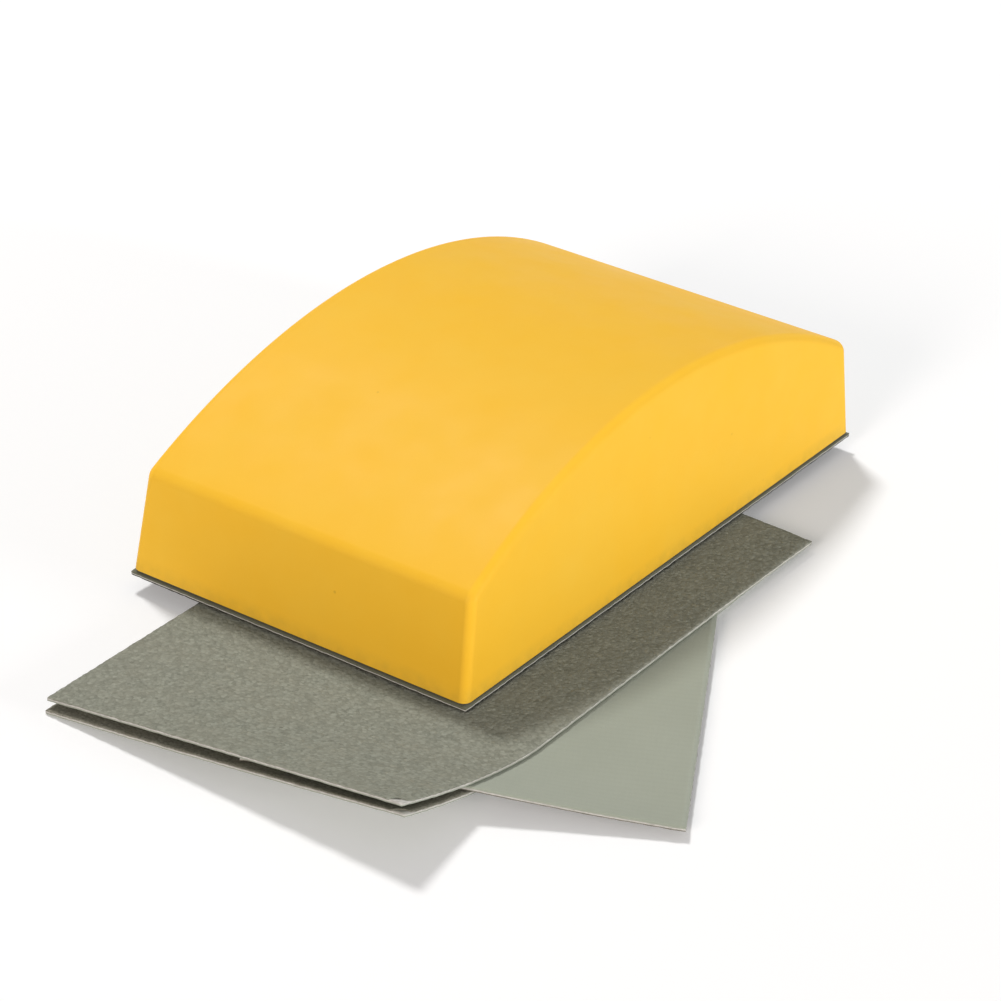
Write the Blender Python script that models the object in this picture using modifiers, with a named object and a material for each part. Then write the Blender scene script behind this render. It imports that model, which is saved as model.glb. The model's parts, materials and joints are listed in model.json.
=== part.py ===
"""A hand sanding block with hook-and-loop abrasive sheets, at its real size.

Metres, +Z up. The origin is on the table, under the middle of the block, and the block's
length runs along X. From the table up there are three spare sheets, the sheet that is
fitted to the block, the block's hook pad and the block itself. Each sheet is three layers:
a looped backing that the hooks grip, the paper that carries the grit, and the grit coat.
"""

import math

import bmesh
import bpy

MM = 0.001

# Driving dimensions: the abrasive sheets
SHEET_LENGTH = 125.0 * MM
SHEET_WIDTH = 70.0 * MM
LOOP_THICKNESS = 0.22 * MM
PAPER_THICKNESS = 0.18 * MM
GRIT_THICKNESS = 0.25 * MM

# Driving dimensions: the block
SHEET_OVERHANG = 0.1 * MM  # the fitted sheet stands out this far past the block's base
END_HEIGHT = 18.6 * MM  # from the block's base to its top edge at each end
CROWN_HEIGHT = 34.4 * MM  # from the block's base to the highest line of its arched top
END_DRAFT = math.radians(7.0)  # how far the two ends lean in
SIDE_DRAFT = math.radians(3.7)  # how far the two long sides lean in
EDGE_ROUND = 1.6 * MM  # rounding of every edge but the base's
PAD_THICKNESS = 0.25 * MM
PAD_INSET = 0.2 * MM  # the hook pad stops this far inside the block's base

# Clearances
BOND_GAP = 0.05 * MM  # the glue line between layers that never part
LIFT_GAP = 0.2 * MM  # between pieces that lift or peel apart

# Where each sheet's middle lies from the block's middle, and how far the sheet is turned
FITTED_PLACE = (0.0, 0.0, 0.0)
UPPER_PLACE = (-38.2 * MM, -14.4 * MM, math.radians(0.2))
MIDDLE_PLACE = (-27.6 * MM, -20.1 * MM, math.radians(27.4))
LOWER_PLACE = (-38.5 * MM, -13.7 * MM, math.radians(1.2))

CROWN_FACETS = 256  # facets of the whole circle that the crown is an arc of
ROUND_SEGMENTS = 5
CUT_MARGIN = 5.0 * MM  # how far a cutter reaches past what it cuts

# Sizes that follow from the ones above
BASE_LENGTH = SHEET_LENGTH - 2 * SHEET_OVERHANG
BASE_WIDTH = SHEET_WIDTH - 2 * SHEET_OVERHANG
SHEET_THICKNESS = LOOP_THICKNESS + PAPER_THICKNESS + GRIT_THICKNESS + 2 * BOND_GAP
SHEET_STEP = SHEET_THICKNESS + LIFT_GAP  # from one sheet's underside to the next one's
FITTED_BOTTOM = 3 * SHEET_STEP
PAD_BOTTOM = FITTED_BOTTOM + SHEET_STEP
PAD_CORNER = EDGE_ROUND - PAD_INSET  # the pad's corners follow the block's
BLOCK_BOTTOM = PAD_BOTTOM + PAD_THICKNESS + BOND_GAP


def clear_scene():
    for old in list(bpy.data.objects):
        bpy.data.objects.remove(old, do_unlink=True)


def new_collection(name):
    collection = bpy.data.collections.new(name)
    bpy.context.scene.collection.children.link(collection)
    return collection


def new_material(name, colour, roughness):
    material = bpy.data.materials.new(name)
    material.use_nodes = True
    shader = material.node_tree.nodes["Principled BSDF"]
    shader.inputs["Base Color"].default_value = (*colour, 1.0)
    shader.inputs["Roughness"].default_value = roughness
    shader.inputs["Metallic"].default_value = 0.0
    return material


def new_piece(name, mesh, collection, parent):
    """An object that holds the mesh, placed by its parent empty."""
    piece = bpy.data.objects.new(name, mesh)
    collection.objects.link(piece)
    piece.parent = parent
    return piece


def new_empty(name, place, height, collection):
    """An empty at (x, y, turn) and a height, on the vertical line that its pieces lift along."""
    x, y, turn = place
    empty = bpy.data.objects.new(name, None)
    empty.location = (x, y, height)
    empty.rotation_euler = (0.0, 0.0, turn)
    collection.objects.link(empty)
    return empty


def slab_mesh(name, length, width, bottom, thickness, corner=0.0):
    """A flat rectangular slab, its upright corners rounded where corner isn't 0."""
    mesh = bpy.data.meshes.new(name)
    shape = bmesh.new()
    bmesh.ops.create_cube(shape, size=1.0)
    bmesh.ops.scale(shape, vec=(length, width, thickness), verts=shape.verts)
    bmesh.ops.translate(shape, vec=(0.0, 0.0, bottom + thickness / 2), verts=shape.verts)
    if corner:
        upright = [e for e in shape.edges if abs(e.verts[0].co.z - e.verts[1].co.z) > thickness / 2]
        bmesh.ops.bevel(
            shape, geom=upright, offset=corner, segments=ROUND_SEGMENTS, profile=0.5,
            affect="EDGES", offset_type="OFFSET", material=-1,
        )
    shape.to_mesh(mesh)
    shape.free()
    return mesh


def make_sheet(name, place, bottom, grit_up, materials, collection):
    """One abrasive sheet: its three layers, loops outermost on one face and grit on the other."""
    empty = new_empty(f"{name}_place", place, bottom, collection)
    layers = [
        ("loop", LOOP_THICKNESS),
        ("paper", PAPER_THICKNESS),
        ("grit", GRIT_THICKNESS),
    ]
    if not grit_up:
        layers.reverse()
    height = 0.0
    for layer, thickness in layers:
        mesh = slab_mesh(f"{name}_{layer}", SHEET_LENGTH, SHEET_WIDTH, height, thickness)
        mesh.materials.append(materials[f"{name}_{layer}"])
        new_piece(mesh.name, mesh, collection, empty)
        height += thickness + BOND_GAP


def drafted_slab(name):
    """The block before it is cut: four leaning sides, run on past the base and the crown."""
    low, high = -CUT_MARGIN, CROWN_HEIGHT + CUT_MARGIN
    mesh = bpy.data.meshes.new(name)
    shape = bmesh.new()
    bmesh.ops.create_cube(shape, size=2.0)
    for corner in shape.verts:
        z = low if corner.co.z < 0 else high
        corner.co.x *= BASE_LENGTH / 2 - z * math.tan(END_DRAFT)
        corner.co.y *= BASE_WIDTH / 2 - z * math.tan(SIDE_DRAFT)
        corner.co.z = z
    shape.to_mesh(mesh)
    shape.free()
    return mesh


def new_cutter(name, mesh, collection, parent):
    cutter = new_piece(name, mesh, collection, parent)
    cutter.hide_render = True
    cutter.display_type = "WIRE"
    return cutter


def crown_cutter(collection, parent):
    """A cylinder across the block, through both end edges and the highest line of the top."""
    half_chord = BASE_LENGTH / 2 - END_HEIGHT * math.tan(END_DRAFT)
    rise = CROWN_HEIGHT - END_HEIGHT
    radius = (half_chord**2 + rise**2) / (2 * rise)
    mesh = bpy.data.meshes.new("crown_cylinder")
    shape = bmesh.new()
    bmesh.ops.create_cone(
        shape, cap_ends=True, segments=CROWN_FACETS, radius1=radius, radius2=radius,
        depth=BASE_WIDTH + 2 * CUT_MARGIN,
    )
    shape.to_mesh(mesh)
    shape.free()
    cutter = new_cutter("crown_cylinder", mesh, collection, parent)
    cutter.location = (0.0, 0.0, CROWN_HEIGHT - radius)
    cutter.rotation_euler = (math.pi / 2, 0.0, 0.0)
    return cutter


def base_cutter(collection, parent):
    """A box below the block, which leaves the base flat and its edge sharp."""
    mesh = slab_mesh(
        "base_box", BASE_LENGTH + 4 * CUT_MARGIN, BASE_WIDTH + 4 * CUT_MARGIN,
        -4 * CUT_MARGIN, 4 * CUT_MARGIN,
    )
    return new_cutter("base_box", mesh, collection, parent)


def add_cut(piece, cutter, operation):
    cut = piece.modifiers.new(cutter.name, "BOOLEAN")
    cut.operation = operation
    cut.solver = "EXACT"
    cut.object = cutter


def make_block(materials, collection, cutters):
    """The moulded grip and the hook pad under it."""
    empty = new_empty("block_place", FITTED_PLACE, BLOCK_BOTTOM, collection)
    mesh = drafted_slab("block_body")
    mesh.materials.append(materials["block_body"])
    body = new_piece("block_body", mesh, collection, empty)
    add_cut(body, crown_cutter(cutters, empty), "INTERSECT")
    rounding = body.modifiers.new("edge_round", "BEVEL")
    rounding.width = EDGE_ROUND
    rounding.segments = ROUND_SEGMENTS
    rounding.limit_method = "ANGLE"
    rounding.angle_limit = math.radians(40.0)
    add_cut(body, base_cutter(cutters, empty), "DIFFERENCE")

    pad_mesh = slab_mesh(
        "hook_pad", BASE_LENGTH - 2 * PAD_INSET, BASE_WIDTH - 2 * PAD_INSET,
        -(PAD_THICKNESS + BOND_GAP), PAD_THICKNESS, PAD_CORNER,
    )
    pad_mesh.materials.append(materials["hook_pad"])
    new_piece("hook_pad", pad_mesh, collection, empty)


def make_materials():
    """One material for each piece: its name, linear colour and roughness."""
    finishes = {
        "block_body": ((0.96, 0.56, 0.05), 0.42),
        "hook_pad": ((0.10, 0.10, 0.08), 0.70),
    }
    grits = {
        "fitted_sheet": (0.06, 0.06, 0.05),
        "upper_sheet": (0.28, 0.27, 0.23),
        "middle_sheet": (0.22, 0.21, 0.18),
        "lower_sheet": (0.25, 0.24, 0.21),
    }
    for sheet, grit_colour in grits.items():
        finishes[f"{sheet}_loop"] = ((0.38, 0.41, 0.35), 0.90)
        finishes[f"{sheet}_paper"] = ((0.62, 0.60, 0.56), 0.85)
        finishes[f"{sheet}_grit"] = (grit_colour, 0.80)
    return {name: new_material(name, *finish) for name, finish in finishes.items()}


def main():
    clear_scene()
    parts = new_collection("sanding_block")
    cutters = new_collection("cutters")
    materials = make_materials()
    make_sheet("lower_sheet", LOWER_PLACE, 0.0, True, materials, parts)
    make_sheet("middle_sheet", MIDDLE_PLACE, SHEET_STEP, False, materials, parts)
    make_sheet("upper_sheet", UPPER_PLACE, 2 * SHEET_STEP, True, materials, parts)
    make_sheet("fitted_sheet", FITTED_PLACE, FITTED_BOTTOM, False, materials, parts)
    make_block(materials, parts, cutters)


main()
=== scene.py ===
# %% [markdown]
# # A hand sanding block and its abrasive sheets
#
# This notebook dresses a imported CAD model. The model has a moulded polyurethane block with an
# arched top, a thin hook pad under it, and four abrasive sheets: one gripped by the hooks,
# and three spare ones that lie fanned out under the block. Each step says what the real
# piece is, how it could be made in Blender, and why it is made the way it is here.
#
# The first cell loads the CAD model. Its pieces are the frame that all the rest hangs on, so
# sizes and heights are read from it and not typed in again.

# %% Load the frame
import json
import math

import bmesh
import bpy
from mathutils import Matrix, Vector, noise

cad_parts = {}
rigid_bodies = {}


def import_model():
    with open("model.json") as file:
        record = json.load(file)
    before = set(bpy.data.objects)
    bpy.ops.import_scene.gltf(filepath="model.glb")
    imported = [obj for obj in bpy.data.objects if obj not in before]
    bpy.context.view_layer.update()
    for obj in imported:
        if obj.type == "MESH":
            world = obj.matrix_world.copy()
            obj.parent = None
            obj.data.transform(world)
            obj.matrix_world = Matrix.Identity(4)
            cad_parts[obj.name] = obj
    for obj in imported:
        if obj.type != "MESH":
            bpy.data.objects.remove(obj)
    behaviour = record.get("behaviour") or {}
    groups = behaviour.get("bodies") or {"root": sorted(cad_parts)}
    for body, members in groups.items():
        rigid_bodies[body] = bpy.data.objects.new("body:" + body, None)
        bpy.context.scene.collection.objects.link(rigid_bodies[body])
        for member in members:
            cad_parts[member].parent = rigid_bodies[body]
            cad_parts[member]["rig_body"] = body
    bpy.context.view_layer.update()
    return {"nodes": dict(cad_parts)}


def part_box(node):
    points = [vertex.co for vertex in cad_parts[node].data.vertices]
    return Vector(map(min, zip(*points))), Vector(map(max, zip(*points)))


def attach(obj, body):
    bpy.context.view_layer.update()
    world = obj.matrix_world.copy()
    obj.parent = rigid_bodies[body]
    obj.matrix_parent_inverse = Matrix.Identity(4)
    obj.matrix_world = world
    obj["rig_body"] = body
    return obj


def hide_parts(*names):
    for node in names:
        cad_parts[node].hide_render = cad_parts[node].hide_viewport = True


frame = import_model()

MM = 0.001

# %% [markdown]
# ## The camera
#
# A small tool is best shown from a bit over half a metre with a long lens, which keeps its
# edges nearly parallel. The camera could be placed by eye, but a place worked out
# from an azimuth, an elevation and a distance is easier to change: the camera sits on the
# end of a line from the middle of the block's base, and is rolled a little about that line.

# %% Place the camera
CAMERA_AZIMUTH = math.radians(-56.872)
CAMERA_ELEVATION = math.radians(28.706)
CAMERA_ROLL = math.radians(3.236)
CAMERA_DISTANCE = 626.5 * MM
CAMERA_ASIDE = 1.170 * MM  # how far left of the block's middle the camera looks
CAMERA_BELOW = 0.762 * MM
CAMERA_LENS = 125.87


def camera_axes(azimuth, elevation, roll):
    """The camera's right, up and back directions."""
    back = Vector((
        math.sin(azimuth) * math.cos(elevation),
        -math.cos(azimuth) * math.cos(elevation),
        math.sin(elevation),
    ))
    level_right = Vector((math.cos(azimuth), math.sin(azimuth), 0.0))
    level_up = back.cross(level_right)
    right = level_right * math.cos(roll) + level_up * math.sin(roll)
    up = back.cross(right)
    return right, up, back


def place_camera(target):
    right, up, back = camera_axes(CAMERA_AZIMUTH, CAMERA_ELEVATION, CAMERA_ROLL)
    camera = bpy.data.objects.new("camera", bpy.data.cameras.new("camera"))
    bpy.context.scene.collection.objects.link(camera)
    camera.data.lens = CAMERA_LENS
    camera.data.clip_start = 0.01
    turn = Matrix((right, up, back)).transposed().to_4x4()
    place = target + back * CAMERA_DISTANCE - right * CAMERA_ASIDE - up * CAMERA_BELOW
    camera.matrix_world = Matrix.Translation(place) @ turn
    bpy.context.scene.camera = camera
    return camera


base_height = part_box("block_body")[0].z
camera = place_camera(Vector((0.0, 0.0, base_height)))
print("camera at, mm:", [round(c / MM) for c in camera.location])

# %% [markdown]
# ## Small helpers
#
# Every new piece goes the same way: a bmesh becomes an object, the object stands in for a CAD
# node, and it rides on the same body as that node, so that it moves when the node does.

# %% Helpers for pieces
def finished_piece(name, shape, material, node, smooth=True):
    """Turns a bmesh into a shown piece that stands for a CAD node and rides on its body."""
    mesh = bpy.data.meshes.new(name)
    shape.to_mesh(mesh)
    shape.free()
    for face in mesh.polygons:
        face.use_smooth = smooth
    mesh.materials.append(material)
    piece = bpy.data.objects.new(name, mesh)
    bpy.context.scene.collection.objects.link(piece)
    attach(piece, frame["nodes"][node]["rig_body"])
    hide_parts(node)
    return piece


def said(piece):
    print(f"{piece.name}: {len(piece.data.polygons)} faces")

# %% [markdown]
# ## Colours
#
# A shader wants linear light, while a colour that is picked is a display colour. One
# function turns the second into the first, so the colours below can be read as usual.

# %% Display colours to linear ones
def shade(red, green, blue):
    """A display colour, 0 to 255 a channel, as the linear colour that a shader takes."""
    linear = []
    for value in (red, green, blue):
        part = value / 255
        linear.append(part / 12.92 if part <= 0.04045 else ((part + 0.055) / 1.055) ** 2.4)
    return (*linear, 1.0)


print("mid grey in linear light:", round(shade(128, 128, 128)[0], 3))

# %% [markdown]
# ## Shared effects, as node groups
#
# Four effects are used by more than one finish, so each is a node group that is built once:
#
# - **cloudy tone**: soft blotches, for plastic that isn't quite even and for paper pulp.
# - **sparse spots**: a few small dots, scattered with no pattern. A Voronoi texture gives cells,
#   and only the cells whose random value is high enough get a dot.
# - **grain speckle**: crushed mineral grains. A Voronoi texture gives each grain a cell, and
#   each cell a random shade. Its distance to the cell's middle gives the grain's dome.
# - **knit ribs**: the fine columns of loops on a brushed knit, from a warped wave.
#
# They put out only tones and heights. The shader itself stays in each material.

# %% Helpers for nodes
def new_group(name, inputs, outputs):
    """An empty node group with float or vector sockets."""
    group = bpy.data.node_groups.new(name, "ShaderNodeTree")
    for socket, kind, value in inputs:
        made = group.interface.new_socket(socket, in_out="INPUT", socket_type=kind)
        if value is not None:
            made.default_value = value
    for socket in outputs:
        group.interface.new_socket(socket, in_out="OUTPUT", socket_type="NodeSocketFloat")
    return group, group.nodes.new("NodeGroupInput"), group.nodes.new("NodeGroupOutput")


def add_node(tree, kind, settings=None, **values):
    """A node with its settings, and with values or links for its inputs by name."""
    node = tree.nodes.new(kind)
    for setting, value in (settings or {}).items():
        setattr(node, setting, value)
    for socket, value in values.items():
        feed(tree, node.inputs[socket.replace("_", " ")], value)
    return node


def feed(tree, socket, value):
    if isinstance(value, bpy.types.NodeSocket):
        tree.links.new(value, socket)
    else:
        socket.default_value = value


def math_node(tree, operation, first, second=0.0, clamp=False):
    node = add_node(tree, "ShaderNodeMath", {"operation": operation, "use_clamp": clamp})
    feed(tree, node.inputs[0], first)
    feed(tree, node.inputs[1], second)
    return node.outputs[0]


def remap(tree, value, low, high, new_low, new_high):
    node = add_node(tree, "ShaderNodeMapRange", {"clamp": True}, Value=value)
    numbers = {"From Min": low, "From Max": high, "To Min": new_low, "To Max": new_high}
    for socket, number in numbers.items():
        feed(tree, node.inputs[socket], number)
    return node.outputs[0]


def mix_colours(tree, factor, first, second):
    node = add_node(tree, "ShaderNodeMix", {"data_type": "RGBA"})
    feed(tree, node.inputs[0], factor)
    feed(tree, node.inputs[6], first)
    feed(tree, node.inputs[7], second)
    return node.outputs[2]

# %% Build the cloudy tone group
def cloudy_tone_group():
    inputs = [("Vector", "NodeSocketVector", None), ("Scale", "NodeSocketFloat", 100.0),
              ("Low", "NodeSocketFloat", 0.0), ("High", "NodeSocketFloat", 1.0)]
    group, given, result = new_group("cloudy tone", inputs, ["Tone"])
    clouds = add_node(group, "ShaderNodeTexNoise", Vector=given.outputs["Vector"],
                      Scale=given.outputs["Scale"], Detail=4.0, Roughness=0.55)
    spread = remap(group, clouds.outputs["Fac"], 0.3, 0.7, 0.0, 1.0)
    width = math_node(group, "SUBTRACT", given.outputs["High"], given.outputs["Low"])
    scaled = math_node(group, "MULTIPLY", spread, width)
    tone = math_node(group, "ADD", scaled, given.outputs["Low"])
    group.links.new(tone, result.inputs["Tone"])
    return group


CLOUDY_TONE = cloudy_tone_group()
print("built", CLOUDY_TONE.name)

# %% Build the sparse spots group
def sparse_spots_group():
    """Dots at the middle of that share of the cells, with a size as a part of a cell."""
    inputs = [("Vector", "NodeSocketVector", None), ("Scale", "NodeSocketFloat", 300.0),
              ("Share", "NodeSocketFloat", 0.1), ("Size", "NodeSocketFloat", 0.1)]
    group, given, result = new_group("sparse spots", inputs, ["Mask"])
    cells = add_node(group, "ShaderNodeTexVoronoi", {"feature": "F1"},
                     Vector=given.outputs["Vector"], Scale=given.outputs["Scale"])
    chance = add_node(group, "ShaderNodeSeparateColor")
    feed(group, chance.inputs[0], cells.outputs["Color"])
    chosen = math_node(group, "LESS_THAN", chance.outputs[0], given.outputs["Share"])
    inside = math_node(group, "SUBTRACT", given.outputs["Size"], cells.outputs["Distance"])
    soft_edge = math_node(group, "MULTIPLY", given.outputs["Size"], 0.5)
    dot = math_node(group, "DIVIDE", inside, soft_edge, clamp=True)
    group.links.new(math_node(group, "MULTIPLY", chosen, dot), result.inputs["Mask"])
    return group


SPARSE_SPOTS = sparse_spots_group()
print("built", SPARSE_SPOTS.name)

# %% Build the grain speckle group
def grain_speckle_group():
    inputs = [("Vector", "NodeSocketVector", None), ("Scale", "NodeSocketFloat", 2000.0)]
    group, given, result = new_group("grain speckle", inputs, ["Tone", "Height", "Glint"])
    wander = add_node(group, "ShaderNodeTexNoise", Vector=given.outputs["Vector"],
                      Scale=900.0, Detail=2.0)
    offset = add_node(group, "ShaderNodeVectorMath", {"operation": "SCALE"})
    feed(group, offset.inputs[0], wander.outputs["Color"])
    feed(group, offset.inputs["Scale"], 0.0004)
    moved = add_node(group, "ShaderNodeVectorMath", {"operation": "ADD"})
    feed(group, moved.inputs[0], given.outputs["Vector"])
    feed(group, moved.inputs[1], offset.outputs[0])
    grains = add_node(group, "ShaderNodeTexVoronoi", {"feature": "F1"},
                      Vector=moved.outputs[0], Scale=given.outputs["Scale"])
    chance = add_node(group, "ShaderNodeSeparateColor")
    feed(group, chance.inputs[0], grains.outputs["Color"])
    dome = remap(group, grains.outputs["Distance"], 0.0, 0.75, 1.0, 0.0)
    lift = math_node(group, "MULTIPLY", dome, remap(group, chance.outputs[1], 0.0, 1.0, 0.35, 1.0))
    glint = remap(group, chance.outputs[2], 0.90, 0.97, 0.0, 1.0)
    group.links.new(chance.outputs[0], result.inputs["Tone"])
    group.links.new(lift, result.inputs["Height"])
    group.links.new(glint, result.inputs["Glint"])
    return group


GRAIN_SPECKLE = grain_speckle_group()
print("built", GRAIN_SPECKLE.name)

# %% Build the knit ribs group
def knit_ribs_group():
    """Ribs along V and stitches across them, on a map whose units are millimetres."""
    inputs = [("Vector", "NodeSocketVector", None), ("Rib Width", "NodeSocketFloat", 0.8)]
    group, given, result = new_group("knit ribs", inputs, ["Height"])
    fuzz = add_node(group, "ShaderNodeTexNoise", Vector=given.outputs["Vector"],
                    Scale=3.2, Detail=5.0, Roughness=0.7)
    parts = add_node(group, "ShaderNodeSeparateXYZ", Vector=given.outputs["Vector"])
    sway = math_node(group, "MULTIPLY", fuzz.outputs["Fac"], 0.9)
    along = math_node(group, "DIVIDE", parts.outputs["X"], given.outputs["Rib Width"])
    along = math_node(group, "MULTIPLY", math_node(group, "ADD", along, sway), math.pi)
    rib = math_node(group, "ABSOLUTE", math_node(group, "SINE", along))
    across = math_node(group, "DIVIDE", parts.outputs["Y"], given.outputs["Rib Width"])
    across = math_node(group, "MULTIPLY", math_node(group, "ADD", across, sway), 9.0)
    stitch = math_node(group, "MULTIPLY", math_node(group, "SINE", across), 0.18)
    group.links.new(math_node(group, "ADD", rib, stitch), result.inputs["Height"])
    return group


KNIT_RIBS = knit_ribs_group()
print("built", KNIT_RIBS.name)

# %% Start a material
def new_material(name, **constants):
    """A material with a Principled BSDF, its constants set on the shader's own sockets."""
    material = bpy.data.materials.new(name)
    material.use_nodes = True
    shader = material.node_tree.nodes["Principled BSDF"]
    for socket, value in constants.items():
        shader.inputs[socket.replace("_", " ")].default_value = value
    return material, material.node_tree, shader


def use_group(tree, group, **values):
    node = add_node(tree, "ShaderNodeGroup", {"node_tree": group})
    for socket, value in values.items():
        feed(tree, node.inputs[socket.replace("_", " ")], value)
    return node


def bump(tree, height, depth, strength=1.0, under=None):
    """A normal from a height of 0 to 1 that stands for that depth in metres."""
    node = add_node(tree, "ShaderNodeBump", Strength=strength, Distance=depth, Height=height)
    if under is not None:
        feed(tree, node.inputs["Normal"], under)
    return node.outputs["Normal"]

# %% [markdown]
# ## The yellow polyurethane
#
# The block is moulded in one shot from coloured polyurethane. Its skin is satin and almost
# even. What gives it away as real is small: faint clouds in the colour, a few tiny dark
# specks, a fine skin texture that breaks up the highlight, and painted shade with grey
# dust blotches near the base.
# A flat colour would read as a computer model, and a tiled texture would repeat, so all of
# it is procedural on the piece's own coordinates. A strong yellow throws a lot of yellow on
# what is near it, more than an eye notices, so the light that it hands on is made duller.

# %% Yellow polyurethane
def yellow_polyurethane():
    material, tree, shader = new_material("yellow_polyurethane", IOR=1.49, Specular_IOR_Level=0.11)
    place = add_node(tree, "ShaderNodeTexCoord").outputs["Object"]
    clouds = use_group(tree, CLOUDY_TONE, Vector=place, Scale=48.0, Low=0.0, High=1.0)
    base = mix_colours(tree, clouds.outputs["Tone"], shade(249, 193, 52), shade(247, 195, 60))
    blush = use_group(tree, CLOUDY_TONE, Vector=place, Scale=150.0, Low=0.0, High=0.25)
    base = mix_colours(tree, blush.outputs["Tone"], base, shade(245, 186, 42))

    specks = use_group(tree, SPARSE_SPOTS, Vector=place, Scale=260.0, Share=0.08, Size=0.10)
    speck = math_node(tree, "MULTIPLY", specks.outputs["Mask"], 0.30)
    base = mix_colours(tree, speck, base, shade(168, 112, 20))

    # Painted shade: the lowest 3 mm of the block are mixed towards a duller, darker yellow, in dust-like
    # blotches.
    height = add_node(tree, "ShaderNodeSeparateXYZ", Vector=place).outputs["Z"]
    base_shade_fade = remap(tree, height, base_height, base_height + 3 * MM, 1.0, 0.0)
    dust = use_group(tree, CLOUDY_TONE, Vector=place, Scale=400.0, Low=0.1, High=0.5)
    base_shade_and_dust = math_node(tree, "MULTIPLY", base_shade_fade, dust.outputs["Tone"])
    base = mix_colours(tree, base_shade_and_dust, base, shade(196, 160, 60))
    bounce = add_node(tree, "ShaderNodeLightPath").outputs["Is Diffuse Ray"]
    base = mix_colours(tree, bounce, base, shade(150, 138, 100))
    feed(tree, shader.inputs["Base Color"], base)

    rough = use_group(tree, CLOUDY_TONE, Vector=place, Scale=120.0, Low=0.46, High=0.56)
    feed(tree, shader.inputs["Roughness"], rough.outputs["Tone"])
    skin = add_node(tree, "ShaderNodeTexNoise", Vector=place, Scale=1400.0, Detail=3.0)
    waves = add_node(tree, "ShaderNodeTexNoise", Vector=place, Scale=60.0, Detail=1.0)
    under = bump(tree, waves.outputs["Fac"], 0.20 * MM, 0.10)
    feed(tree, shader.inputs["Normal"], bump(tree, skin.outputs["Fac"], 0.02 * MM, 0.35, under))
    return material


YELLOW_POLYURETHANE = yellow_polyurethane()
print("made", YELLOW_POLYURETHANE.name)

# %% [markdown]
# ## The block's shape
#
# The block is a slab with four leaning sides, and its top is an arc along its length. It
# could be a boolean of a slab and a big cylinder, as in the CAD. For smooth shading it is
# better to have clean strips: a cube is cut crosswise into strips, each strip's top edge is
# lifted on to the arc, and one bevel rounds the whole rim and the four corners. The base
# keeps a crisp edge, with only the tiny radius that a mould's parting line leaves.

# %% Model the block
END_HEIGHT = 18.6 * MM
END_DRAFT = math.radians(7.0)
SIDE_DRAFT = math.radians(3.7)
EDGE_ROUND = 1.6 * MM
BASE_ROUND = 0.12 * MM
SHARP_ANGLE = math.radians(40.0)
CROWN_STRIPS = 44

block_low, block_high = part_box("block_body")
BASE_LENGTH = block_high.x - block_low.x
BASE_WIDTH = block_high.y - block_low.y
CROWN_HEIGHT = block_high.z - block_low.z
HALF_CHORD = BASE_LENGTH / 2 - END_HEIGHT * math.tan(END_DRAFT)
CROWN_RISE = CROWN_HEIGHT - END_HEIGHT
CROWN_RADIUS = (HALF_CHORD**2 + CROWN_RISE**2) / (2 * CROWN_RISE)


def crown_at(x):
    """The height of the arched top above the base, at x from the block's middle."""
    return CROWN_HEIGHT - CROWN_RADIUS + math.sqrt(CROWN_RADIUS**2 - x * x)


def is_lengthwise(edge):
    return abs(edge.verts[0].co.x - edge.verts[1].co.x) > 1.0


def rim_and_corners(shape):
    """The edges that the moulder rounds: all that are sharp, apart from the base's."""
    sharp = [e for e in shape.edges if e.calc_face_angle(0.0) > SHARP_ANGLE]
    return [e for e in sharp if max(v.co.z for v in e.verts) > 1.0 * MM]


def block_shape():
    shape = bmesh.new()
    bmesh.ops.create_cube(shape, size=2.0)
    lengthwise = [e for e in shape.edges if is_lengthwise(e)]
    bmesh.ops.subdivide_edges(shape, edges=lengthwise, cuts=CROWN_STRIPS - 1, use_grid_fill=True)
    for point in shape.verts:
        top = point.co.z > 0
        reach = HALF_CHORD if top else BASE_LENGTH / 2
        x = point.co.x * reach
        z = crown_at(x) if top else 0.0
        y = point.co.y * (BASE_WIDTH / 2 - z * math.tan(SIDE_DRAFT))
        point.co = (x, y, z)
    bmesh.ops.bevel(shape, geom=rim_and_corners(shape), offset=EDGE_ROUND, segments=9,
                    profile=0.5, affect="EDGES", offset_type="OFFSET", material=-1)
    base_rim = [e for e in shape.edges if e.calc_face_angle(0.0) > SHARP_ANGLE]
    bmesh.ops.bevel(shape, geom=base_rim, offset=BASE_ROUND, segments=3, profile=0.5,
                    affect="EDGES", offset_type="OFFSET", material=-1)
    bmesh.ops.translate(shape, verts=shape.verts, vec=(0.0, 0.0, base_height))
    bmesh.ops.recalc_face_normals(shape, faces=shape.faces)
    return shape


block = finished_piece("moulded_block", block_shape(), YELLOW_POLYURETHANE, "block_body")
weighted = block.modifiers.new("even_shading", "WEIGHTED_NORMAL")
weighted.keep_sharp = True
said(block)

# %% [markdown]
# ## The hook pad
#
# Under the block is the hook half of a hook-and-loop fastener: a thin backing film that is
# bonded to the base, with rows of tiny stiff hooks. It is seen as a dark line at the
# block's foot, and as a field of hooks when the block is peeled off its sheet. The hooks
# are made once as a small bent stem with a head, and repeated in staggered rows.

# %% Hook pad material
def dark_nylon():
    material, tree, shader = new_material("dark_nylon", Coat_Weight=0.1)
    place = add_node(tree, "ShaderNodeTexCoord").outputs["Object"]
    tone = use_group(tree, CLOUDY_TONE, Vector=place, Scale=600.0, Low=0.0, High=1.0)
    base = mix_colours(tree, tone.outputs["Tone"], shade(64, 60, 44), shade(92, 86, 62))
    feed(tree, shader.inputs["Base Color"], base)
    rough = use_group(tree, CLOUDY_TONE, Vector=place, Scale=900.0, Low=0.45, High=0.65)
    feed(tree, shader.inputs["Roughness"], rough.outputs["Tone"])
    weave = add_node(tree, "ShaderNodeTexNoise", Vector=place, Scale=2500.0, Detail=2.0)
    feed(tree, shader.inputs["Normal"], bump(tree, weave.outputs["Fac"], 0.05 * MM, 0.5))
    return material


DARK_NYLON = dark_nylon()
print("made", DARK_NYLON.name)

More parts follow.
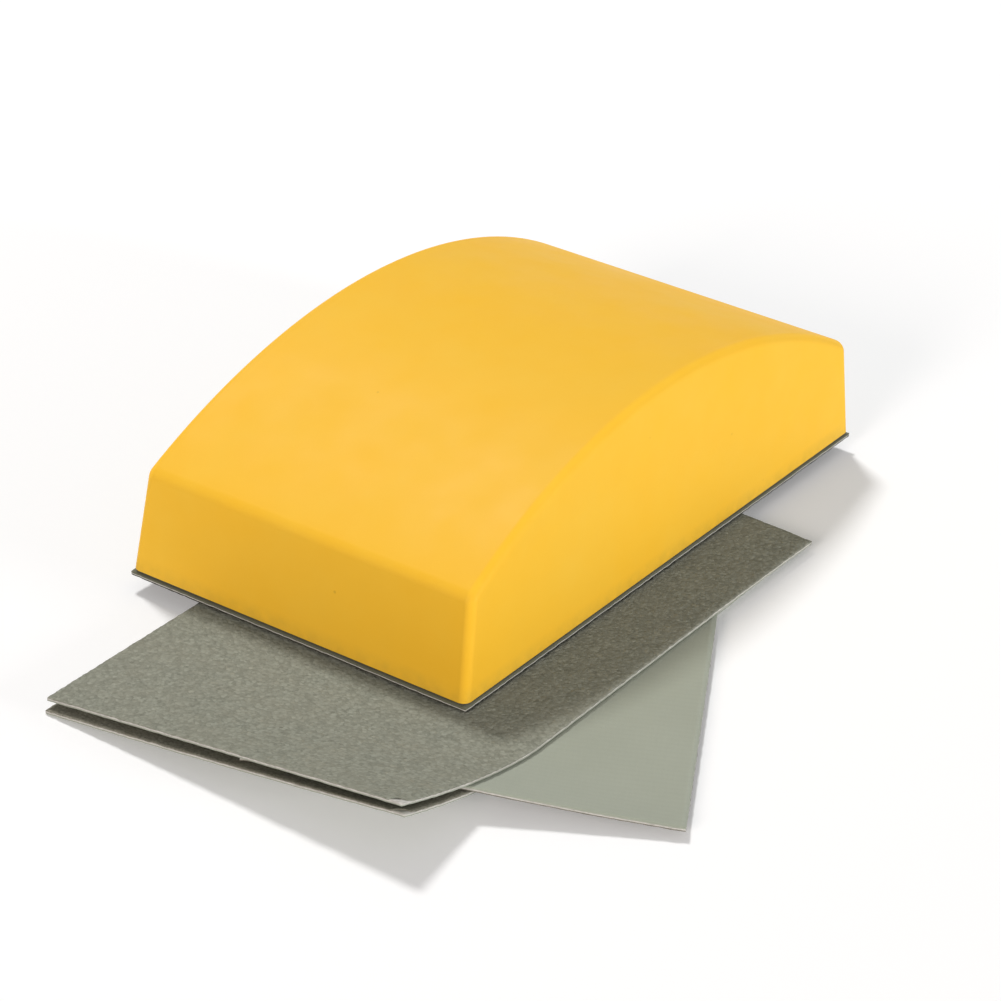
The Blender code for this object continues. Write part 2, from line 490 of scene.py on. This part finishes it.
# %% Model the hook pad
BACKING_THICKNESS = 0.12 * MM
HOOK_PITCH = 1.5 * MM
HOOK_WIDTH = 0.26 * MM
HOOK_REACH = 0.15 * MM  # how far the hooks reach down towards the loops
PAD_INSET = 0.2 * MM
PAD_CORNER = EDGE_ROUND - PAD_INSET
PAD_MARGIN = 1.2 * MM


def pad_backing(shape, low, high):
    """The film, its upright corners rounded, from the pad's top down."""
    size = Vector((high.x - low.x, high.y - low.y, BACKING_THICKNESS))
    made = bmesh.ops.create_cube(shape, size=1.0)["verts"]
    bmesh.ops.scale(shape, vec=size, verts=made)
    middle = Vector((0.0, 0.0, high.z - BACKING_THICKNESS / 2))
    bmesh.ops.translate(shape, vec=middle, verts=made)
    upright = [e for e in shape.edges if abs(e.verts[0].co.z - e.verts[1].co.z) > 0.5 * size.z]
    bmesh.ops.bevel(shape, geom=upright, offset=PAD_CORNER, segments=6, profile=0.5,
                    affect="EDGES", offset_type="OFFSET", material=-1)


def hook_row(columns, top, tip):
    """A row of hooks: each is a four-sided stem that leans as it goes down to its head."""
    shape = bmesh.new()
    for column in range(columns):
        x = (column - (columns - 1) / 2) * HOOK_PITCH
        stem = bmesh.ops.create_cone(
            shape, cap_ends=True, segments=4, radius1=HOOK_WIDTH / 2, radius2=HOOK_WIDTH * 0.42,
            depth=top - tip, matrix=Matrix.Translation((x, 0.0, (top + tip) / 2)),
        )["verts"]
        head = [v for v in stem if v.co.z < (top + tip) / 2]
        bmesh.ops.translate(shape, vec=(HOOK_WIDTH * 0.5, 0.0, 0.0), verts=head)
    row = bpy.data.meshes.new("hook_row")
    shape.to_mesh(row)
    shape.free()
    return row


def hook_pad_shape():
    low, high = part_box("hook_pad")
    shape = bmesh.new()
    pad_backing(shape, low, high)
    columns = int((high.x - low.x - 2 * PAD_MARGIN) / HOOK_PITCH)
    rows = int((high.y - low.y - 2 * PAD_MARGIN) / (HOOK_PITCH / 2))
    row = hook_row(columns, high.z - BACKING_THICKNESS, low.z - HOOK_REACH)
    for index in range(rows + 1):
        shift = 0.25 if index % 2 else -0.25
        place = Matrix.Translation((shift * HOOK_PITCH, (index - rows / 2) * HOOK_PITCH / 2, 0.0))
        row.transform(place)
        shape.from_mesh(row)
        row.transform(place.inverted())
    bpy.data.meshes.remove(row)
    bmesh.ops.recalc_face_normals(shape, faces=shape.faces)
    return shape


hook_pad = finished_piece("hook_pad_hooks", hook_pad_shape(), DARK_NYLON, "hook_pad", smooth=False)
said(hook_pad)

# %% [markdown]
# ## The grit
#
# Crushed mineral grains stand in a dark resin on the paper. From a distance it is a warm
# grey, and close up each grain has its own shade: some pale and glassy, most grey-brown,
# with dark gaps between. The surface is real relief for the big grains and a bump for the
# small ones, and both are seeded by place, so they are the same on each run.

# %% Grit materials
def grit_coat_material(name, pale, dark, speck, per_metre, depth):
    material, tree, shader = new_material(name, Specular_IOR_Level=0.2)
    place = add_node(tree, "ShaderNodeTexCoord").outputs["Object"]
    grains = use_group(tree, GRAIN_SPECKLE, Vector=place, Scale=per_metre)
    fine = use_group(tree, GRAIN_SPECKLE, Vector=place, Scale=per_metre * 2.3)
    base = mix_colours(tree, grains.outputs["Tone"], dark, pale)
    gaps = remap(tree, grains.outputs["Height"], 0.05, 0.45, 0.30, 0.0)
    base = mix_colours(tree, gaps, base, speck)
    dust = math_node(tree, "MULTIPLY", fine.outputs["Tone"], 0.30)
    base = mix_colours(tree, dust, base, pale)
    pits = use_group(tree, SPARSE_SPOTS, Vector=place, Scale=per_metre * 0.45, Share=0.16, Size=0.30)
    pit = math_node(tree, "MULTIPLY", pits.outputs["Mask"], 0.45)
    base = mix_colours(tree, pit, base, speck)
    drift = use_group(tree, CLOUDY_TONE, Vector=place, Scale=160.0, Low=0.0, High=0.30)
    base = mix_colours(tree, drift.outputs["Tone"], base, warmer(pale, dark))
    feed(tree, shader.inputs["Base Color"], base)
    feed(tree, shader.inputs["Roughness"], remap(tree, grains.outputs["Glint"], 0.0, 1.0, 0.85, 0.60))
    under = bump(tree, grains.outputs["Height"], depth, 0.75)
    feed(tree, shader.inputs["Normal"], bump(tree, fine.outputs["Height"], depth * 0.4, 0.5, under))
    return material


def warmer(pale, dark):
    """The tone between two others, a little browner."""
    middle = [(a + b) / 2 for a, b in zip(pale, dark)]
    return (middle[0] * 1.06, middle[1] * 0.98, middle[2] * 0.93, 1.0)


GRITS = {
    "upper_sheet": grit_coat_material(
        "coarse_grit", shade(159, 161, 147), shade(127, 129, 116), shade(90, 90, 80), 1500.0, 0.16 * MM),
    "lower_sheet": grit_coat_material(
        "medium_grit", shade(150, 148, 134), shade(118, 116, 104), shade(84, 82, 74), 2300.0, 0.10 * MM),
    "middle_sheet": grit_coat_material(
        "fine_grit", shade(140, 138, 126), shade(112, 110, 100), shade(78, 76, 70), 3600.0, 0.06 * MM),
    "fitted_sheet": grit_coat_material(
        "black_grit", shade(70, 70, 63), shade(40, 40, 35), shade(20, 20, 18), 2300.0, 0.10 * MM),
}
print("grit finishes:", [material.name for material in GRITS.values()])

# %% [markdown]
# ## The paper and the looped backing
#
# The carrier is a thick, tough paper: off-white on its cut edge, with a fibrous, slightly
# ragged line. The backing is a thin knitted fabric, brushed so that its loops stand up for
# the hooks. It is a pale grey-green felt with faint ribs, duller and softer than the paper,
# so it gets a sheen and a rough surface, and painted shade in the hollows between its ribs.
# Its pattern is on the sheet's own UV map, in millimetres, because a sheet can lie at any
# angle and the ribs turn with it. The backing that the hooks grip is a darker copy of the
# same finish, with painted shade for the shadow under the block.

# %% Paper material
def carrier_paper():
    material, tree, shader = new_material("carrier_paper")
    place = add_node(tree, "ShaderNodeTexCoord").outputs["Object"]
    pulp = use_group(tree, CLOUDY_TONE, Vector=place, Scale=1100.0, Low=0.0, High=1.0)
    base = mix_colours(tree, pulp.outputs["Tone"], shade(176, 173, 165), shade(208, 205, 198))
    feed(tree, shader.inputs["Base Color"], base)
    rough = use_group(tree, CLOUDY_TONE, Vector=place, Scale=500.0, Low=0.8, High=0.95)
    feed(tree, shader.inputs["Roughness"], rough.outputs["Tone"])
    feed(tree, shader.inputs["Normal"], bump(tree, pulp.outputs["Tone"], 0.05 * MM, 0.5))
    return material


CARRIER_PAPER = carrier_paper()
print("made", CARRIER_PAPER.name)

# %% Looped backing material
def looped_backing(name, even, cloudy, hollow_shade, lint):
    material, tree, shader = new_material(
        name, Sheen_Weight=0.2, Sheen_Roughness=0.5, Specular_IOR_Level=0.2)
    flat = add_node(tree, "ShaderNodeUVMap", {"uv_map": "sheet_mm"}).outputs["UV"]
    ribs = use_group(tree, KNIT_RIBS, Vector=flat, Rib_Width=1.3)
    felt = add_node(tree, "ShaderNodeTexNoise", Vector=flat, Scale=7.0, Detail=4.0, Roughness=0.7)
    clouds = use_group(tree, CLOUDY_TONE, Vector=flat, Scale=0.06, Low=0.0, High=1.0)
    base = mix_colours(tree, clouds.outputs["Tone"], even, cloudy)
    # Painted shade: the hollows between the ribs are mixed towards a darker colour.
    rib_hollow_shade = remap(tree, ribs.outputs["Height"], 0.0, 1.0, 0.14, 0.0)
    base = mix_colours(tree, rib_hollow_shade, base, hollow_shade)
    fuzz_tone = remap(tree, felt.outputs["Fac"], 0.35, 0.65, 0.0, 0.30)
    base = mix_colours(tree, fuzz_tone, base, lint)
    feed(tree, shader.inputs["Base Color"], base)
    feed(tree, shader.inputs["Roughness"], remap(tree, felt.outputs["Fac"], 0.3, 0.7, 0.82, 0.98))
    under = bump(tree, ribs.outputs["Height"], 0.06 * MM, 0.25)
    feed(tree, shader.inputs["Normal"], bump(tree, felt.outputs["Fac"], 0.08 * MM, 0.5, under))
    return material


LOOPED_BACKING = looped_backing(
    "looped_backing",
    shade(156, 161, 145), shade(161, 166, 150), shade(138, 143, 128), shade(174, 179, 166))
# Painted shade: a darker copy of the looped backing, for the sheet that lies in the shadow under the block.
SHADED_LOOPED_BACKING = looped_backing(
    "shaded_looped_backing",
    shade(104, 104, 84), shade(96, 96, 78), shade(70, 70, 54), shade(128, 128, 108))
print("made", LOOPED_BACKING.name, "and", SHADED_LOOPED_BACKING.name)

# %% [markdown]
# ## How a sheet is built
#
# A sheet is always built grit up, flat and centred on the origin: the loops lowest, then
# the paper, then the grit. Each layer is a grid that is extruded to its thickness, so it
# is closed and both its faces can bend. Three things then happen to its points: the outer
# face gets its relief, the cut edge gets a slight raggedness, and the sheet curls where
# nothing holds it flat. Last, the layer is turned over if its grit faces down, and is
# turned and moved to its place.

# %% Sizes of a sheet
SHEET_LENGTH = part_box("fitted_sheet_loop")[1].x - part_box("fitted_sheet_loop")[0].x
SHEET_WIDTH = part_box("fitted_sheet_loop")[1].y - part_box("fitted_sheet_loop")[0].y
SHEET_TURNS = {"fitted_sheet": 0.0, "upper_sheet": 0.2, "middle_sheet": 27.4, "lower_sheet": 1.2}
GRIT_UP = {"fitted_sheet": False, "upper_sheet": True, "middle_sheet": False, "lower_sheet": True}


def node_span(sheet, layer):
    """How high a layer starts and ends above the underside of a sheet that lies grit up."""
    low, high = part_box(f"{sheet}_{layer}")
    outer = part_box(f"{sheet}_{'loop' if GRIT_UP[sheet] else 'grit'}")[0].z
    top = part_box(f"{sheet}_{'grit' if GRIT_UP[sheet] else 'loop'}")[1].z
    if GRIT_UP[sheet]:
        return low.z - outer, high.z - outer
    return top - high.z, top - low.z


def layer_span(sheet, layer):
    """The same, with no glue lines: the paper fills them, or on the pressed sheet the rest do."""
    loop, paper, grit = (node_span(sheet, name) for name in ("loop", "paper", "grit"))
    if sheet == "fitted_sheet":
        spans = {"loop": (loop[0], paper[0]), "paper": paper, "grit": (paper[1], grit[1])}
    else:
        spans = {"loop": loop, "paper": (loop[1], grit[0]), "grit": grit}
    return spans[layer]


for layer in ("loop", "paper", "grit"):
    print(layer, "from and to, mm:", [round(height / MM, 2) for height in layer_span("upper_sheet", layer)])

# %% How sheets curl
BLOCK_REACH = SHEET_LENGTH / 2
CORNER_LIFT = 9.0 * MM  # how far the stack's free front corner stands up
STACK_SAG = 0.4 * MM  # how far the lower two sheets hang away from the upper one
EDGE_DROOP = 0.5 * MM  # how far the upper one droops where only the lower sheet is under it


def sheet_middle(sheet):
    low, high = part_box(f"{sheet}_loop")
    return (low + high) / 2


UPPER_MIDDLE = sheet_middle("upper_sheet")
MIDDLE_MIDDLE = sheet_middle("middle_sheet")
FREE_REACH = SHEET_LENGTH / 2 - UPPER_MIDDLE.x - BLOCK_REACH


def soft_rise(distance, over):
    """0 at or below no distance, then a rise that starts softly and is 1 at the distance over."""
    return max(distance / over, 0.0)**1.5


def free_part(place):
    """0 where the block holds the sheets flat, rising to 1 at the upper sheet's free end."""
    return min(soft_rise(-BLOCK_REACH - place.x, FREE_REACH), 1.3)


def side_part(place):
    """-1 at the upper sheet's front edge and past it, 1 at its back edge and past it."""
    return min(max((place.y - UPPER_MIDDLE.y) / (SHEET_WIDTH / 2), -1.0), 1.0)


def stack_curl(place):
    """What the whole stack does: its free end leans, level at the back and lifted at the front."""
    return CORNER_LIFT * free_part(place) * (1.0 - side_part(place)) / 2


def lower_curl(place):
    return stack_curl(place) - STACK_SAG * free_part(place) * (1.0 - side_part(place)**2)


def upper_curl(place):
    """The upper sheet hangs down past the edge of the turned sheet that it lies on."""
    turn = math.radians(SHEET_TURNS["middle_sheet"])
    from_middle = place - MIDDLE_MIDDLE
    past_edge = from_middle.x * math.sin(turn) - from_middle.y * math.cos(turn) - SHEET_WIDTH / 2
    return stack_curl(place) - EDGE_DROOP * min(soft_rise(past_edge, 14.0 * MM), 1.0)


def no_curl(place):
    return 0.0


CURLS = {"fitted_sheet": no_curl, "upper_sheet": upper_curl,
         "middle_sheet": lower_curl, "lower_sheet": lower_curl}
print("the upper sheet reaches past the block, mm:", round(FREE_REACH / MM, 1))

# %% Build one layer of a sheet
CORNER_WEAR = 2.6 * MM  # how much grit is chipped off the sheet's free front corner
TEAR_LENGTH = 0.9 * MM  # how long one tooth of a ragged edge is


def ragged(point, amount, seed):
    """How far a point of the cut edge strays, in and out."""
    return amount * noise.noise(Vector((point.x, point.y, seed)) / TEAR_LENGTH + Vector((seed, 0, 0)))


def chipped(flat, amount):
    """How far the coat is worn back at the sheet's free front corner, along the diagonal."""
    corner = Vector((-SHEET_LENGTH / 2, -SHEET_WIDTH / 2))
    reach = amount - (flat.xy - corner).length
    return max(reach, 0.0) * 0.7


def layer_shape(sheet, layer, step, relief, fray):
    """One closed layer, built grit up and then put in its place."""
    bottom, top = layer_span(sheet, layer)
    shape = bmesh.new()
    bmesh.ops.create_grid(shape, x_segments=round(SHEET_LENGTH / step),
                          y_segments=round(SHEET_WIDTH / step), size=0.5)
    bmesh.ops.scale(shape, vec=(SHEET_LENGTH, SHEET_WIDTH, 1.0), verts=shape.verts)
    bmesh.ops.translate(shape, vec=(0.0, 0.0, bottom), verts=shape.verts)
    raised = bmesh.ops.extrude_face_region(shape, geom=shape.faces[:])["geom"]
    lid = [g for g in raised if isinstance(g, bmesh.types.BMVert)]
    bmesh.ops.translate(shape, vec=(0.0, 0.0, top - bottom), verts=lid)
    bmesh.ops.recalc_face_normals(shape, faces=shape.faces)
    add_sheet_map(shape)
    outer = set(lid) if layer == "grit" else set(shape.verts) - set(lid)
    outward = 1.0 if layer == "grit" else -1.0
    half = Vector((SHEET_LENGTH / 2, SHEET_WIDTH / 2))
    seed = float(sorted(GRIT_UP).index(sheet))
    for point in shape.verts:
        flat = point.co.copy()
        edge_x = half.x - abs(flat.x) < step / 2
        edge_y = half.y - abs(flat.y) < step / 2
        if edge_x:
            point.co.x += ragged(flat, fray, seed)
        if edge_y:
            point.co.y += ragged(flat, fray, seed + 7.0)
        if layer == "grit" and GRIT_UP[sheet]:
            worn = chipped(flat, CORNER_WEAR + ragged(flat, 0.8 * MM, seed))
            point.co += Vector((worn, worn, 0.0))
        if relief and point in outer:
            edge = min(half.x - abs(flat.x), half.y - abs(flat.y))
            point.co.z += outward * relief(flat, edge, seed)
    return settled(shape, sheet)


def add_sheet_map(shape):
    """A UV map in millimetres from the sheet's middle, for patterns that follow the sheet."""
    uv = shape.loops.layers.uv.new("sheet_mm")
    for face in shape.faces:
        for loop in face.loops:
            loop[uv].uv = (loop.vert.co.x / MM, loop.vert.co.y / MM)


def settled(shape, sheet):
    """Turns a layer over if its grit faces down, puts it in place, and curls it there."""
    thickness = node_span(sheet, "grit")[1]
    if not GRIT_UP[sheet]:
        bmesh.ops.rotate(shape, cent=(0.0, 0.0, thickness / 2), verts=shape.verts,
                         matrix=Matrix.Rotation(math.pi, 3, "X"))
    turn = Matrix.Rotation(math.radians(SHEET_TURNS[sheet]), 3, "Z")
    bmesh.ops.rotate(shape, cent=(0.0, 0.0, 0.0), verts=shape.verts, matrix=turn)
    middle = sheet_middle(sheet)
    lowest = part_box(f"{sheet}_{'loop' if GRIT_UP[sheet] else 'grit'}")[0].z
    bmesh.ops.translate(shape, vec=(middle.x, middle.y, lowest), verts=shape.verts)
    curl = CURLS[sheet]
    for point in shape.verts:
        point.co.z += curl(point.co)
    return shape


def loop_relief(place, edge, seed):
    """The brushed face: soft hollows that pull in and never stand out past the CAD."""
    soft = noise.noise(place / (0.8 * MM) + Vector((seed, 3.0, 0.0)))
    return -0.05 * MM * (0.5 + soft)


def grit_relief(size, depth):
    """Grains of about that size, whose tops stand up to the coat's full height."""
    def relief(place, edge, seed):
        where = place / size + Vector((seed * 5.0, 0.0, 0.0))
        coarse = noise.noise(where * 0.9)
        rough = noise.noise(where * 2.1 + Vector((0.0, 9.0, 0.0)))
        worn = 0.6 if edge < 0.5 * MM else 0.0
        return -depth * min(max(0.5 - 0.5 * coarse - 0.5 * rough, 0.0) + worn, 1.0)
    return relief


print("a grain's relief, mm:", round(grit_relief(0.7 * MM, 0.3 * MM)(Vector((0.3, 0.2, 0)), 1, 0) / MM, 3))

# %% [markdown]
# ## Make the four sheets
#
# The upper spare sheet is the coarsest and the nearest, so it has the finest grid.

# %% Make every sheet
SOFT_STEP = 1.0 * MM  # the grid of a backing or a paper
SOFT_FRAY = 0.12 * MM
GRIT_FRAY = 0.18 * MM
GRAINS = {
    "upper_sheet": (0.47 * MM, grit_relief(0.85 * MM, 0.16 * MM)),
    "lower_sheet": (0.62 * MM, grit_relief(0.80 * MM, 0.12 * MM)),
    "middle_sheet": (0.80 * MM, grit_relief(0.80 * MM, 0.08 * MM)),
    "fitted_sheet": (0.62 * MM, grit_relief(0.80 * MM, 0.12 * MM)),
}


def make_sheet(sheet):
    step, relief = GRAINS[sheet]
    backing = finished_piece(
        f"{sheet}_looped_backing", layer_shape(sheet, "loop", SOFT_STEP, loop_relief, SOFT_FRAY),
        SHADED_LOOPED_BACKING if sheet == "fitted_sheet" else LOOPED_BACKING, f"{sheet}_loop")
    paper = finished_piece(
        f"{sheet}_carrier_paper", layer_shape(sheet, "paper", SOFT_STEP, None, SOFT_FRAY),
        CARRIER_PAPER, f"{sheet}_paper")
    grit = finished_piece(
        f"{sheet}_grit_coat", layer_shape(sheet, "grit", step, relief, GRIT_FRAY),
        GRITS[sheet], f"{sheet}_grit")
    for piece in (backing, paper, grit):
        said(piece)


for sheet in ("lower_sheet", "middle_sheet", "upper_sheet", "fitted_sheet"):
    make_sheet(sheet)

# %% [markdown]
# ## Floor and light
#
# The floor is plain and pale. It looks white to the camera and still takes the soft shadow.
# A quarter of the light comes from all round, as in a light tent. One lamp above and behind
# throws a short shadow forwards, one at the block's long side keeps that side bright, and a
# weak warm one fills the end, which stays the darkest face. The last two are low, so that
# they don't light up the shadow which the block throws on its sheets.

# %% Floor
FLOOR_SIZE = 3.2
FLOOR_DROP = 0.02 * MM  # keeps the floor from meeting the lowest sheet's underside


def pale_floor():
    material, tree, shader = new_material("pale_floor", Roughness=0.9, Specular_IOR_Level=0.0)
    shader.inputs["Base Color"].default_value = (0.88, 0.88, 0.88, 1.0)
    light_path = add_node(tree, "ShaderNodeLightPath")
    glow = add_node(tree, "ShaderNodeEmission", Strength=0.18)
    nothing = add_node(tree, "ShaderNodeBsdfTransparent")
    seen = add_node(tree, "ShaderNodeMixShader", Fac=light_path.outputs["Is Camera Ray"])
    tree.links.new(add_node(tree, "ShaderNodeEmission", Strength=0.0).outputs[0], seen.inputs[1])
    tree.links.new(glow.outputs[0], seen.inputs[2])
    lit = add_node(tree, "ShaderNodeAddShader")
    tree.links.new(shader.outputs[0], lit.inputs[0])
    tree.links.new(seen.outputs[0], lit.inputs[1])
    side = add_node(tree, "ShaderNodeNewGeometry").outputs["Backfacing"]
    final = add_node(tree, "ShaderNodeMixShader", Fac=side)
    tree.links.new(lit.outputs[0], final.inputs[1])
    tree.links.new(nothing.outputs[0], final.inputs[2])
    tree.links.new(final.outputs[0], tree.nodes["Material Output"].inputs["Surface"])
    return material


def make_floor():
    shape = bmesh.new()
    bmesh.ops.create_grid(shape, x_segments=1, y_segments=1, size=FLOOR_SIZE / 2)
    mesh = bpy.data.meshes.new("floor")
    shape.to_mesh(mesh)
    shape.free()
    mesh.materials.append(pale_floor())
    floor = bpy.data.objects.new("floor", mesh)
    bpy.context.scene.collection.objects.link(floor)
    floor.location.z = -FLOOR_DROP
    return floor


floor = make_floor()
print("floor:", FLOOR_SIZE, "m wide")

# %% World
def make_world():
    """White where it is seen or mirrored, and a soft light from all round for the rest."""
    world = bpy.data.worlds.new("light_tent")
    world.use_nodes = True
    tree = world.node_tree
    path = add_node(tree, "ShaderNodeLightPath")
    seen = path.outputs["Is Camera Ray"]
    for kind in ("Is Transmission Ray", "Is Glossy Ray"):
        seen = math_node(tree, "MAXIMUM", seen, path.outputs[kind])
    tree.nodes["Background"].inputs["Color"].default_value = (1.0, 1.0, 1.0, 1.0)
    feed(tree, tree.nodes["Background"].inputs["Strength"], remap(tree, seen, 0.0, 1.0, 0.25, 1.0))
    bpy.context.scene.world = world


make_world()
print("world ready")

# %% Lamps
def add_lamp(name, direction, distance, size, power, colour=(1.0, 1.0, 1.0)):
    lamp = bpy.data.objects.new(name, bpy.data.lights.new(name, "AREA"))
    lamp.data.shape = "DISK"
    lamp.data.size = size
    lamp.data.energy = power
    lamp.data.color = colour
    bpy.context.scene.collection.objects.link(lamp)
    towards = Vector(direction).normalized()
    lamp.location = towards * distance
    lamp.rotation_euler = towards.to_track_quat("Z", "Y").to_euler()
    return lamp


add_lamp("back_top_lamp", (0.25, 0.55, 1.0), 2.0, 0.36, 23.2)
add_lamp("side_lamp", (0.1, -1.0, 0.12), 2.0, 0.6, 24.0)
add_lamp("end_lamp", (-1.0, -0.1, 0.35), 2.0, 0.6, 17.6, (1.0, 0.91, 0.86))
bpy.context.scene.view_settings.view_transform = "Standard"

# %% [markdown]
# ## Finish
#
# The last cell updates the view layer, so the scene is ready.

# %% Finish
bpy.context.view_layer.update()
